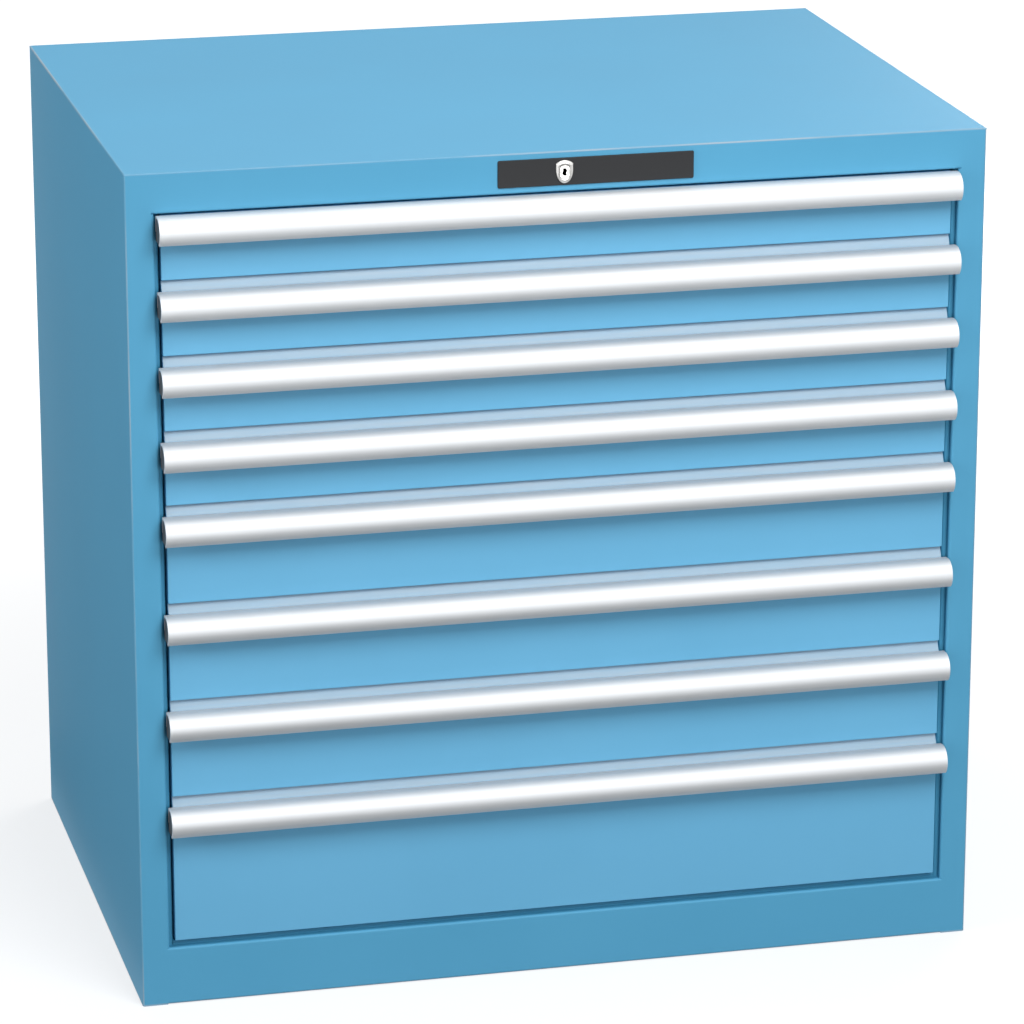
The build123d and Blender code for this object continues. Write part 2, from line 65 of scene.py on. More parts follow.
# %% Camera
azimuth, elevation = math.radians(-13.611), math.radians(17.146)
camera_distance, focal_length, sensor_width = 5.2, 174.67, 36.0
middle_height, aim_right, aim_up = 0.425, 0.01964, -0.02774


def stand(thing, right, up, back, at):
    """Place an object by its three axes and its point, and link it; Blender takes the matrix by columns."""
    pose = np.eye(4)
    pose[:3] = np.column_stack([right, up, back, at])
    thing.matrix_world = pose.T.tolist()
    bpy.context.scene.collection.objects.link(thing)


backward = np.array([
    math.sin(azimuth) * math.cos(elevation),
    -math.cos(azimuth) * math.cos(elevation),
    math.sin(elevation),
])
rightward = np.array([math.cos(azimuth), math.sin(azimuth), 0.0])
upward = np.cross(backward, rightward)
aim = np.array([0.0, 0.0, middle_height]) + aim_right * rightward + aim_up * upward
camera_point = aim + camera_distance * backward
camera = bpy.data.objects.new("camera", bpy.data.cameras.new("camera"))
camera.data.lens, camera.data.sensor_width = focal_length, sensor_width
stand(camera, rightward, upward, backward, camera_point)
bpy.context.scene.camera = camera
print("camera at", np.round(camera_point, 3))

# %% [markdown]
# ## Colours and nodes
# Paint charts give sRGB values, and Blender's shaders work in linear light, so one function turns a hex
# value into linear numbers. Another adds a node: its settings are properties, and each input takes either
# a socket, which is linked, or a plain value, which is set. The short functions after it name the few kinds
# of node that most finishes share: sums, mixed colours, stretched ranges, noises and bumps.

# %% Colour and node helpers
def linear(hex_colour):
    """sRGB hex to linear: a channel c above 0.04045 is ((c + 0.055) / 1.055) ** 2.4, below it c / 12.92."""
    c = np.array([int(hex_colour[i:i + 2], 16) for i in (1, 3, 5)]) / 255
    return (*np.where(c > 0.04045, ((c + 0.055) / 1.055) ** 2.4, c / 12.92).tolist(), 1.0)


def add_node(tree, kind, inputs=None, **settings):
    """One node in a tree: settings are its properties, and an input is linked from a socket or set."""
    made = tree.nodes.new(kind)
    for name, value in settings.items():
        setattr(made, name, value)
    for name, value in (inputs or {}).items():
        if isinstance(value, bpy.types.NodeSocket):
            tree.links.new(value, made.inputs[name])
        else:
            made.inputs[name].default_value = value
    return made


def maths(tree, operation, *values, **settings):
    """The result of one sum on up to three values."""
    inputs = dict(enumerate(values))
    return add_node(tree, "ShaderNodeMath", inputs, operation=operation, **settings).outputs[0]


def vector_maths(tree, operation, *values):
    """The outputs of one sum on up to three vectors."""
    inputs = dict(enumerate(values))
    return add_node(tree, "ShaderNodeVectorMath", inputs, operation=operation).outputs


def mixed(tree, share, first, second, blend="MIX"):
    """A colour that is the first at a share of 0 and the second, or its blend with the first, at 1.

    A Mix node has its own sockets for each kind of data: colours are inputs 6 and 7 and output 2."""
    inputs = {0: share, 6: first, 7: second}
    return add_node(tree, "ShaderNodeMix", inputs, data_type="RGBA", blend_type=blend).outputs[2]


def stretched(tree, value, low, high, start=0.0, stop=1.0, **settings):
    """A value that goes from low to high while another goes from start to stop."""
    inputs = {"Value": value, "From Min": start, "From Max": stop, "To Min": low, "To Max": high}
    return add_node(tree, "ShaderNodeMapRange", inputs, **settings).outputs["Result"]


def noise(tree, place, size, detail):
    """A noise from about 0 to 1 whose features have the given size, in the place's own unit."""
    inputs = {"Vector": place, "Scale": 1 / size, "Detail": detail}
    return add_node(tree, "ShaderNodeTexNoise", inputs).outputs["Fac"]


def drawn_out(tree, place, long, wide, detail=3.0):
    """A noise drawn out along X: its features are long in X and wide in Y and Z, in metres."""
    inputs = {"Vector": place, "Scale": (1 / long, 1 / wide, 1 / wide)}
    return noise(tree, add_node(tree, "ShaderNodeMapping", inputs).outputs["Vector"], 1.0, detail)


def bumped(tree, height, strength, relief):
    """A normal that leans as a surface of that relief, in metres, would."""
    inputs = {"Height": height, "Strength": strength, "Distance": relief}
    return add_node(tree, "ShaderNodeBump", inputs).outputs["Normal"]


def empty_material(name):
    """A material with an empty node tree, and its tree."""
    material = bpy.data.materials.new(name)
    material.use_nodes = True
    material.node_tree.nodes.clear()
    return material, material.node_tree


def place_on(tree):
    """The place on the object, in metres."""
    return add_node(tree, "ShaderNodeTexCoord").outputs["Object"]


def finish_material(tree, shader):
    """Link a shader to the material's output."""
    add_node(tree, "ShaderNodeOutputMaterial", {"Surface": shader.outputs[0]})


print("mid grey in linear light", np.round(linear("#808080")[:3], 3))

# %% [markdown]
# ## Powder coat
# The housing and the drawer fronts are steel sheet with baked epoxy polyester powder. The powder melts into a
# skin with a faint orange peel, about 1.5 mm from dimple to dimple, and a satin gloss. A noise of that size
# drives a small bump, drawn a little deeper than life so that it shows at this size. A second, much wider
# noise changes tint and gloss by a few parts in a hundred, as a sprayed sheet does.
# Where hands rub the paint it gets smoother and paler: a piece marks those faces with an attribute, and the
# housing's folded edges are paled in the same way, in patches. The paler colour is partly wear and partly
# painted light: a painted sheen on the leaning faces above the grips and a painted highlight along the folds.
# Fine marks drawn out along X break the change up. In the step folded round the drawers the paint is darker:
# painted shade in that recess. The housing's coat is a shade deeper copy of the fronts' paint: painted shade.

# %% Powder coat for the housing, the fronts and the trays
housing_low, housing_high = np.array(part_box("left_side_panel")[0]), np.array(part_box("top_panel")[1])
# How far in from the housing's outer faces the folds are paled: wear and painted highlight.
edge_mark_reach, edge_mark_fade = 1.8 * MM, 0.6 * MM
step_inner, step_outer = 396.2 * MM, 415 * MM
step_bottom, step_shelf, step_top = 30 * MM, 66 * MM, 840 * MM
step_front, step_back = 3 * MM, 40 * MM
# The paint in the step is multiplied by this darker tint: painted shade.
painted_shade_tint = (0.54, 0.71, 0.73, 1.0)
peel_size, peel_relief, drift_size = 1.5 * MM, 0.12 * MM, 180 * MM
mark_long, mark_wide, least_wear_and_sheen, most_wear_and_sheen = 90 * MM, 4 * MM, 0.45, 0.75
patch_start, patch_full, patch_least = 0.4, 0.6, 0.25
coat_rough, rough_drift, rubbed_smooth = 0.55, 0.03, 0.25


def edge_wear_and_highlight(tree, place):
    """1 where two of the housing's outer faces are both within reach, else 0: the folded edges, which are
    paled as wear and as a painted highlight.

    Each coordinate's size about the middle goes from 0 to 1 where it passes the half size less the reach;
    the three are added and 1 is taken off. A Map Range node's inputs 6 to 8 are those for vectors."""
    middle, half = (housing_low + housing_high) / 2, (housing_high - housing_low) / 2
    size = vector_maths(tree, "ABSOLUTE", vector_maths(tree, "SUBTRACT", place, middle)[0])[0]
    start = half - edge_mark_reach
    inputs = {6: size, 7: start, 8: start + edge_mark_fade}
    near = add_node(tree, "ShaderNodeMapRange", inputs, data_type="FLOAT_VECTOR").outputs["Vector"]
    faces = vector_maths(tree, "DOT_PRODUCT", near, (1, 1, 1))["Value"]
    return maths(tree, "SUBTRACT", faces, 1.0, use_clamp=True)


def painted_step_shade(tree, place):
    """1 in the step folded round the drawers, where shade is painted, else 0: in a box, and past its side
    line or below its shelf.
    """
    x, y, z = add_node(tree, "ShaderNodeSeparateXYZ", {"Vector": place}).outputs
    side, front = maths(tree, "ABSOLUTE", x), housing_low[1]
    past, below = maths(tree, "GREATER_THAN", side, step_inner), maths(tree, "LESS_THAN", z, step_shelf)
    shade = maths(tree, "MAXIMUM", past, below)
    for value, first, last in (
        (side, -step_outer, step_outer),
        (y, front + step_front, front + step_back),
        (z, step_bottom, step_top),
    ):
        within = maths(tree, "COMPARE", value, (first + last) / 2, (last - first) / 2)
        shade = maths(tree, "MULTIPLY", shade, within)
    return shade


def powder_coat(name, light, dark, rubbed):
    """Baked powder on steel: a dielectric with an orange peel and slow changes of tint and gloss.

    Where the rubbed faces or the worn edges are marked, the tint goes about halfway to the paler rubbed
    colour, which is partly wear and partly painted sheen and highlight, and the gloss goes up. In the step
    the colour
    is multiplied by a darker tint: painted shade."""
    material, tree = empty_material(name)
    place = place_on(tree)
    peel, drift = noise(tree, place, peel_size, 2.0), noise(tree, place, drift_size, 3.0)
    wear_and_sheen_marks = stretched(tree, drawn_out(tree, place, mark_long, mark_wide), least_wear_and_sheen, most_wear_and_sheen)
    patches = stretched(tree, drift, patch_least, 1.0, patch_start, patch_full)
    # The housing's folded edges, paled in patches: wear, and a painted highlight along the folds.
    worn_lit_edges = maths(tree, "MULTIPLY", edge_wear_and_highlight(tree, place), patches)
    rub_and_sheen = add_node(tree, "ShaderNodeAttribute", attribute_name="rub_and_sheen").outputs["Fac"]
    share = maths(tree, "MULTIPLY", maths(tree, "MAXIMUM", rub_and_sheen, worn_lit_edges), wear_and_sheen_marks)
    # The paler tint where rubbed or at worn edges is partly wear, partly painted sheen and highlight.
    paler = mixed(tree, share, mixed(tree, drift, linear(dark), linear(light)), linear(rubbed))
    satin = stretched(tree, drift, coat_rough - rough_drift, coat_rough + rough_drift)
    shader = add_node(tree, "ShaderNodeBsdfPrincipled", {
        # Darker in the step round the drawers: painted shade.
        "Base Color": mixed(tree, painted_step_shade(tree, place), paler, painted_shade_tint, blend="MULTIPLY"),
        "Roughness": maths(tree, "MULTIPLY_ADD", share, -rubbed_smooth, satin),
        "Normal": bumped(tree, peel, 0.10, peel_relief),
        "IOR": 1.5,
        "Specular IOR Level": 0.25,
    })
    finish_material(tree, shader)
    return material


# The housing's sheets get a shade deeper copy of the fronts' paint: painted shade on the frame.
housing_shaded_coat = powder_coat("epoxy_powder_coat_sky_blue_painted_shade", "#55A0C5", "#4D98BD", "#AAADB0")
finishes = {
    "blue_powder_coat": powder_coat("epoxy_powder_coat_sky_blue", "#6AB0D6", "#62A8CE", "#AAADB0"),
    "grey_powder_coat": powder_coat("epoxy_powder_coat_light_grey", "#C6CACB", "#BEC3C5", "#CDD0D1"),
}
print("powder coats", [m.name for m in finishes.values()], housing_shaded_coat.name)

# %% [markdown]
# ## Anodised aluminium
# The grip strips are extruded aluminium, brushed along their length and then clear anodised. Brushing leaves
# fine lines that run with the strip. A noise stretched along X gives them: about 0.9 mm across, coarser than
# the real 0.1 mm so that they show, and 300 mm long. They change the roughness and lift a very small bump.

# %% Anodised aluminium
line_long, line_wide, line_relief = 300 * MM, 0.9 * MM, 0.05 * MM
aluminium, tree = empty_material("brushed_anodised_aluminium")
lines = drawn_out(tree, place_on(tree), line_long, line_wide)
finish_material(tree, add_node(tree, "ShaderNodeBsdfPrincipled", {
    "Base Color": mixed(tree, lines, linear("#C9CBCE"), linear("#D5D8DA")),
    "Metallic": 1.0,
    "Roughness": stretched(tree, lines, 0.66, 0.74),
    "Normal": bumped(tree, lines, 0.06, line_relief),
}))
finishes["satin_aluminium"] = aluminium
print("made", aluminium.name)

# %% [markdown]
# ## Zinc, plastic, rubber and nickel
# The slides and the lock's linkage are zinc plated steel, whose crystals show as patches of about 5 mm with
# slightly different greys. The lock's cover and the strips' end caps are moulded ABS with a fine spark grain
# of about 0.8 mm. The stops are moulded rubber. The lock's shield is satin nickel over brass, with faint
# rubbed marks, and the barrel and the plug are brighter, because they were polished first. Each is one
# pattern at its real size behind one shader. In the keyway the pins stand close, so the hole looks black;
# the slot made here is shallow, so the plug's finish is painted nearly black behind its face: painted shade.

# %% Small parts' finishes
METAL, NOT_METAL = 1.0, 0.0
plated_relief, moulded_relief, pattern_strength = 0.01 * MM, 0.05 * MM, 0.25
# Behind this plane the plug's shallow slot is painted nearly black: painted shade.
keyway_shade_from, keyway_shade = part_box("lock_plug")[0].y + 0.35 * MM, "#0E0E0D"


def grain(size, detail=2.0):
    """A pattern: a noise with grains of the given size in metres."""
    return lambda tree, place: noise(tree, place, size, detail)


def crystals(size):
    """A pattern: cells of the given size in metres, each with its own grey."""
    def pattern(tree, place):
        cells = add_node(tree, "ShaderNodeTexVoronoi", {"Vector": place, "Scale": 1 / size})
        return add_node(tree, "ShaderNodeSeparateColor", {"Color": cells.outputs["Color"]}).outputs["Red"]
    return pattern


def patterned(name, light, dark, pattern, metallic, rough, relief, shaded_keyway=False):
    """One pattern drives a tint between two colours, a roughness range and a bump of that relief.

    In a finish with a shaded keyway the tint is nearly black behind the plane where the plug's slot begins:
    painted shade for a deep hole."""
    material, tree = empty_material(name)
    place = place_on(tree)
    height = pattern(tree, place)
    tint = mixed(tree, height, linear(dark), linear(light))
    # Painted shade: the keyway's inside is made nearly black.
    if shaded_keyway:
        y = add_node(tree, "ShaderNodeSeparateXYZ", {"Vector": place}).outputs["Y"]
        tint = mixed(tree, maths(tree, "GREATER_THAN", y, keyway_shade_from), tint, linear(keyway_shade))
    finish_material(tree, add_node(tree, "ShaderNodeBsdfPrincipled", {
        "Base Color": tint,
        "Metallic": metallic,
        "Roughness": stretched(tree, height, *rough),
        "Normal": bumped(tree, height, pattern_strength, relief),
        "Specular IOR Level": 0.5 if metallic else 0.25,
    }))
    return material


moulded, rubbery, marked = grain(0.8 * MM), grain(1.2 * MM), grain(6.0 * MM, 3.0)
nickel = marked, METAL, (0.36, 0.44), plated_relief
polished = "#EAE9E6", "#E0DFDC"
finishes |= {
    "zinc_plated_steel": patterned(
        "bright_zinc_plate", "#C9CDCE", "#B4B9BB", crystals(5 * MM), METAL, (0.30, 0.42), plated_relief),
    "dark_grey_plastic": patterned(
        "spark_grained_abs", "#2A2B2D", "#232426", moulded, NOT_METAL, (0.55, 0.65), moulded_relief),
    "mid_grey_plastic": patterned(
        "moulded_grey_abs", "#505153", "#48494B", moulded, NOT_METAL, (0.48, 0.58), moulded_relief),
    "black_rubber": patterned(
        "moulded_black_rubber", "#232323", "#1A1A1A", rubbery, NOT_METAL, (0.70, 0.85), moulded_relief),
    "nickel_plate": patterned("satin_nickel_plate", "#BCBBB9", "#ADACAA", *nickel),
}
own_finish = {
    "lock_barrel": patterned("polished_nickel_plate", *polished, *nickel),
    "lock_plug": patterned("polished_nickel_plate_with_painted_keyway_shade", *polished, *nickel, shaded_keyway=True),
}
print("finishes", sorted(finishes), "and for single nodes", sorted(own_finish))

# %% [markdown]
# ## Finishes on the CAD nodes
# The record says which finish each node has, and the housing's sheets have their own deeper copy of the
# fronts' paint, a painted shade on the frame. A node's mesh is kept as it is, and only its material changes.

# %% Give every CAD node its finish
housing_sheets = "left_side_panel", "right_side_panel", "top_panel", "rear_panel", "floor_panel", "plinth"
own_finish |= dict.fromkeys(housing_sheets, housing_shaded_coat)
slot_of = {part["node"]: part["material_slot"] for part in frame["record"]["subparts"]}
for node, slot in slot_of.items():
    slots = frame["nodes"][node].data.materials
    slots.clear()
    slots.append(own_finish.get(node, finishes[slot]))
print("finished", len(slot_of), "CAD nodes")

# %% [markdown]
# ## Shapes from arrays
# Each new piece is worked out with numpy. A grid of points gives its quads by number alone, and a closed
# shape's faces are turned outwards when their volumes add up to less than nothing. Parts of one piece are
# joined by stacking their points and moving the face numbers up. Folded and moulded pieces get their round
# edges from a Bevel and their thickness from a Solidify.

# %% Grid, direction, joining and mesh helpers
def grid_faces(rows, columns, round_rows=False, round_columns=False):
    """Quads of a grid of points numbered row by row; a round direction joins its end to its start."""
    r = np.arange(rows if round_rows else rows - 1)[:, None]
    c = np.arange(columns if round_columns else columns - 1)[None, :]
    here, after, c_after = r * columns, (r + 1) % rows * columns, (c + 1) % columns
    return np.stack([here + c, here + c_after, after + c_after, after + c], axis=-1)


def outward(points, faces):
    """The same shape with its faces pointing out: the volume of its fans about its middle is positive."""
    p = points - points.mean(axis=0)
    volume = sum(
        np.einsum("ij,ij->", p[f[:, 0]], np.cross(p[f[:, i]], p[f[:, i + 1]]))
        for f in faces
        for i in range(1, f.shape[1] - 1)
    )
    return (points, faces) if volume > 0 else (points, [f[:, ::-1] for f in faces])


def joined(*shapes):
    """Several shapes as one: points stacked, each shape's face numbers moved up by the points before it."""
    before = np.cumsum([0] + [len(points) for points, _ in shapes])
    faces = [f + start for (_, own), start in zip(shapes, before) for f in own]
    return np.concatenate([points for points, _ in shapes]), faces


def carried(line, start, stop, order=(0, 1, 2)):
    """A flat line's points at start and again at stop, with the way it is carried as first coordinate; the
    order then says which coordinate each axis takes."""
    points = np.stack([np.c_[np.full(len(line), at), line] for at in (start, stop)]).reshape(-1, 3)
    return points[:, list(order)]


def two_ends(count):
    """The faces that close a carried line of that many points at both ends."""
    return np.stack([np.arange(count)[::-1], count + np.arange(count)])


def make_piece(name, shape, body, node, slot=None, smooth_below=None):
    """A mesh object from a shape that stands for a node and has its finish, unless another slot is named.

    Edges sharper than smooth_below degrees stay crisp, and the rest shade smooth."""
    points, faces = shape
    slot = slot or slot_of[node]
    mesh = bpy.data.meshes.new(name)
    mesh.from_pydata(points.tolist(), [], [row for f in faces for row in f.tolist()])
    if smooth_below:
        mesh.polygons.foreach_set("use_smooth", np.ones(len(mesh.polygons), bool))
        mesh.set_sharp_from_angle(angle=math.radians(smooth_below))
    mesh.materials.append(own_finish.get(node, finishes[slot]))
    piece = bpy.data.objects.new(name, mesh)
    bpy.context.scene.collection.objects.link(piece)
    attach(piece, body)
    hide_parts(node)
    return piece


def round_edges(piece, width, segments, angle):
    """A Bevel on the edges that turn by more than the angle, in degrees."""
    bevel = piece.modifiers.new("round edges", "BEVEL")
    bevel.width, bevel.segments = width, segments
    bevel.limit_method, bevel.angle_limit = "ANGLE", math.radians(angle)


def thicken(piece, thickness):
    """A Solidify that gives a folded sheet its thickness inwards."""
    sheet = piece.modifiers.new("sheet", "SOLIDIFY")
    sheet.thickness, sheet.offset = thickness, -1.0


print("a 3 by 4 grid has", grid_faces(3, 4).reshape(-1, 4).shape[0], "quads")

# %% [markdown]
# ## Drawer fronts
# Each front is a shallow pan of sheet, folded back all round. Above the grip, all but the top one lean back
# by 5 mm over about 10 mm, which leaves room for the fingers. The pan's section is a line in Y and Z carried
# across the width, with a plate at each end. The leaning face is marked as rubbed, because every hand that
# opens the drawer wipes along it; the mark also gives it a paler tint, which is a painted sheen. A Bevel
# rounds the folds, because folded sheet never has a sharp corner, and a Solidify gives the sheet its
# thickness.

# %% Make the drawer fronts
lean_run, fold_drop, front_sheet, front_round = 5 * MM, 1.2 * MM, 1.4 * MM, 0.7 * MM


def front_pan(low, high, fold_level):
    """Section from back to front along the bottom, up to the fold, leaning to the top and back, along X.

    A front that ends level with its grip strip has no leaning part."""
    leans = high.z - fold_level > lean_run / 2
    face = [(low.y, low.z), (low.y, fold_level), (low.y + lean_run, high.z)][:3 if leans else 2]
    section = np.array([(high.y, low.z), *face, (high.y, high.z)])
    count = len(section)
    return outward(carried(section, low.x, high.x), [grid_faces(2, count).reshape(-1, 4), two_ends(count)])


for k in drawers:
    low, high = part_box(f"drawer_{k}_front")
    fold_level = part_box(f"drawer_{k}_handle")[1].z - fold_drop
    pan = make_piece(f"front_pan_{k}", front_pan(low, high, fold_level), f"drawer_{k}", f"drawer_{k}_front")
    facing = np.empty(3 * len(pan.data.polygons))
    pan.data.polygons.foreach_get("normal", facing)
    facing = facing.reshape(-1, 3)
    leaning = (facing[:, 1] < -0.1) & (facing[:, 2] > 0.1)
    # The leaning faces get a paler tint and more gloss: rubbed by hands, and a painted sheen.
    pan.data.attributes.new("rub_and_sheen", "FLOAT", "FACE").data.foreach_set("value", leaning.astype(float))
    round_edges(pan, front_round, 3, 20)
    thicken(pan, front_sheet)
print("made", len(drawers), "drawer fronts")

# %% [markdown]
# ## Grip strips
# The strip is an extrusion with a round nose of 15 mm radius. Behind the nose its skin dips to the drawer's
# face, where a web is riveted on, and below it ends in a curled lip that the fingers hook behind. The section
# is two lines with the same number of points, outside and inside, so the wall between them closes by itself.
# The wall thins to a round tip at the lip.

# %% Make the grip strips
nose, wall, dip, web, lip = 15 * MM, 2 * MM, 1 * MM, 16 * MM, 235.0


def straight_strip(outer, inner, start, stop, order):
    """A wall between matching outer and inner lines, carried from start to stop.

    The loop goes out along the outer line and back along the inner one. Quads join the loop at both ends,
    and quads between outer and inner points of one number close the two ends."""
    loop = np.concatenate([outer, inner[::-1]])
    count, last = len(loop), len(loop) - 1
    i = np.arange(len(outer) - 1)
    end = np.stack([i, i + 1, last - 1 - i, last - i], axis=1)
    skin = grid_faces(2, count, round_columns=True).reshape(-1, 4)
    return outward(carried(loop, start, stop, order), [skin, end[:, ::-1], end + count])


def around(centre, radius, start, stop, count):
    """Points on an arc: centre plus radius times cosine and sine, from start to stop in degrees."""
    a = np.radians(np.linspace(start, stop, count))
    return np.asarray(centre) + np.stack([radius * np.cos(a), radius * np.sin(a)], axis=1)


def dip_arc(top, span, count=14):
    """The arc that falls from level at a top point by the dip over the span behind it, from its low end."""
    radius = (span ** 2 + dip ** 2) / (2 * dip)
    turn = math.degrees(math.asin(span / radius))
    return around((top[0], top[1] - radius), radius, 90 - turn, 90, count)


def grip_section(low, high):
    """Outer and inner lines: web up the face, arc over the dip, arc round the nose to the lip."""
    centre = np.array((low.y + nose, high.z - nose))
    web_levels = np.array([high.z - web, high.z - 0.6 * web])
    turn = np.radians(np.linspace(90, lip, 60))
    left = (turn[-1] - turn) * (nose - wall / 2)
    half = 0.5 * wall * np.sqrt(1 - (1 - np.clip(left / (0.5 * wall), 0, 1)) ** 2)[:, None]
    ring = np.stack([np.cos(turn), np.sin(turn)], axis=1)
    lines = []
    for face, top, side in ((high.y, high.z, 1), (high.y - wall, high.z - wall, -1)):
        behind = np.stack([np.full(2, face), web_levels], axis=1)
        over = dip_arc((centre[0], top), face - centre[0])[:-1]
        lines.append(np.concatenate([behind, over, centre + ring * (nose - wall / 2 + side * half)]))
    return lines


for k in drawers:
    low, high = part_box(f"drawer_{k}_handle")
    strip = straight_strip(*grip_section(low, high), low.x, high.x, (0, 1, 2))
    make_piece(f"grip_strip_{k}", strip, f"drawer_{k}", f"drawer_{k}_handle", smooth_below=40)
print("made", len(drawers), "grip strips")

# %% [markdown]
# ## End caps
# A plastic plug closes each end of a strip. It fills the strip's hollow with a hair of play and is level with
# the metal. Its outline is the hollow's own: the arc of the nose, the dip and the web. It is carried 10 mm
# along X, and a small Bevel rounds the moulded edge.

# %% Make the end caps
play, cap_depth, cap_round = 0.1 * MM, 10 * MM, 0.4 * MM


def plate(outline, start, stop, order=(0, 1, 2)):
    """A flat plate: a closed outline at start and at stop, joined by quads."""
    count = len(outline)
    sides = grid_faces(2, count, round_columns=True).reshape(-1, 4)
    return outward(carried(outline, start, stop, order), [sides, two_ends(count)])


for k in drawers:
    low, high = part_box(f"drawer_{k}_handle")
    cap_low, cap_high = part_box(f"drawer_{k}_caps")
    curve = around((low.y + nose, high.z - nose), nose - wall - play, 90, lip, 32)
    back, web_end, dip_end = high.y - wall - play, high.z - web - play, high.z - dip - wall - play
    rest = [(cap_high.y, curve[-1, 1]), (cap_high.y, web_end), (back, web_end), (back, dip_end)]
    outline = np.concatenate([curve, rest])
    left_cap = plate(outline, cap_low.x, cap_low.x + cap_depth)
    right_cap = plate(outline, cap_high.x - cap_depth, cap_high.x)
    caps = make_piece(f"end_caps_{k}", joined(left_cap, right_cap), f"drawer_{k}", f"drawer_{k}_caps")
    round_edges(caps, cap_round, 2, 50)
print("made", len(drawers), "pairs of end caps")

# %% [markdown]
# ## Trays
# A drawer's tray is folded from 1 mm sheet, with a rim turned in at the top and rows of slots that hold
# dividers, 17 mm apart. One grid makes it all: one direction goes round the tray, with a line at each edge of
# every slot, and the other goes up the section, over the floor's fold, the wall and the rim. Leaving out
# the quads between two slot lines cuts the slots. One face with many corners is the floor.

# %% Make the trays
tray_half, tray_sheet, tray_corner, fold, rim = 373 * MM, 1 * MM, 4 * MM, 2 * MM, 6 * MM
slot_pitch, slot_width, slot_rise, slot_drop, corner_count = 17 * MM, 3 * MM, 10 * MM, 14 * MM, 5
side_turns = np.array([(0, -1), (1, 0), (0, 1), (-1, 0)])


def tray_round(low_y, high_y):
    """Points, outward directions and slot marks once round the tray, from its front left corner."""
    x, front, back = tray_half - tray_corner, low_y + tray_corner, high_y - tray_corner
    corners = np.array([(-x, front), (x, front), (x, back), (-x, back)])
    places, directions, marks = [], [], []
    for k in range(4):
        run = corners[(k + 1) % 4] - corners[k]
        length = np.linalg.norm(run)
        count = int((length - 2 * slot_pitch) // slot_pitch)
        middle = length / 2 + (np.arange(count) - (count - 1) / 2) * slot_pitch
        along = np.stack([middle - slot_width / 2, middle + slot_width / 2], axis=1).ravel()
        turn = np.radians(np.linspace(180 + 90 * k, 270 + 90 * k, corner_count))
        places += [np.tile(corners[k], (corner_count, 1)), corners[k] + along[:, None] * run / length]
        directions += [np.stack([np.cos(turn), np.sin(turn)], axis=1), np.tile(side_turns[k], (2 * count, 1))]
        marks += [np.zeros(corner_count, bool), np.tile([True, False], count)]
    return np.concatenate(places), np.concatenate(directions), np.concatenate(marks)


def tray_shell(low, high):
    """Point (i, j) is place i plus direction i times the section's reach j, at the section's height j."""
    places, directions, marks = tray_round(low.y, high.y)
    bottom = around((tray_corner - fold, low.z + fold), fold, -90, 0, 4)
    rows = np.array([(tray_corner, low.z + slot_rise), (tray_corner, high.z - slot_drop)])
    top = around((tray_corner - fold, high.z - fold), fold, 0, 90, 4)
    section = np.concatenate([bottom, rows, top, [(tray_corner - rim, high.z)]])
    n, m = len(places), len(section)
    flat = places[:, None, :] + directions[:, None, :] * section[None, :, :1]
    points = np.concatenate([flat, np.broadcast_to(section[None, :, 1:], (n, m, 1))], axis=2).reshape(-1, 3)
    quads = grid_faces(n, m, round_rows=True)
    kept = ~(marks[:, None] & (np.arange(m - 1) == len(bottom)))
    floor = (np.arange(n) * m)[None, ::-1]
    return outward(points, [quads[kept], floor])


for k in drawers:
    low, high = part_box(f"drawer_{k}_tray")
    thicken(make_piece(f"tray_{k}", tray_shell(low, high), f"drawer_{k}", f"drawer_{k}_tray"), tray_sheet)
print("made", len(drawers), "trays, slots round one:", int(tray_round(low.y, high.y)[2].sum()))

# %% [markdown]
# ## Tray channels and lock strikes
# On each side of the tray a channel is welded on, in which the slide's roller and glide run. It is a strip
# with a folded section, open away from the tray. Near the front of the right wall stands the strike, a small
# plate with rounded corners that the lock's catch holds.

# %% Make the tray channels and the lock strikes
channel_reach, channel_tall, channel_sheet, channel_rise = 13 * MM, 25.6 * MM, 1.5 * MM, 8 * MM
channel_front, channel_back = -255.75 * MM, 218.75 * MM
strike_front, strike_back, strike_tall, strike_corner = -261.75 * MM, -258.75 * MM, 10 * MM, 1.5 * MM


def channel(side, level):
    """A C section with its back on the tray's wall, carried along Y."""
    reach, tall, sheet = channel_reach, channel_tall, channel_sheet
    outer = np.array([(reach, 0), (0, 0), (0, tall), (reach, tall)])
    inner = np.array([(reach, sheet), (sheet, sheet), (sheet, tall - sheet), (reach, tall - sheet)])
    place, turn = np.array([(side * tray_half, level)]), (side, 1)
    return straight_strip(place + outer * turn, place + inner * turn, channel_front, channel_back, (1, 0, 2))


def slab(low, high, corner, order):
    """A plate with rounded corners: four arcs of the corner radius in its own plane, then its thickness."""
    (a0, b0), (a1, b1) = np.asarray(low[1:]) + corner, np.asarray(high[1:]) - corner
    outline = np.concatenate([
        around(middle, corner, start, start + 90, 6)
        for middle, start in (((a1, b1), 0), ((a0, b1), 90), ((a0, b0), 180), ((a1, b0), 270))
    ])
    return plate(outline, low[0], high[0], order)


for k in drawers:
    low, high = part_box(f"drawer_{k}_tray")
    strike_low, strike_high = (strike_front, tray_half, high.z - strike_tall), (strike_back, high.x, high.z)
    parts = [channel(side, low.z + channel_rise) for side in (-1, 1)]
    shape = joined(*parts, slab(strike_low, strike_high, strike_corner, (1, 0, 2)))
    make_piece(f"tray_channels_{k}", shape, f"drawer_{k}", f"drawer_{k}_tray", slot="zinc_plated_steel")
print("made", len(drawers), "sets of channels and strikes")

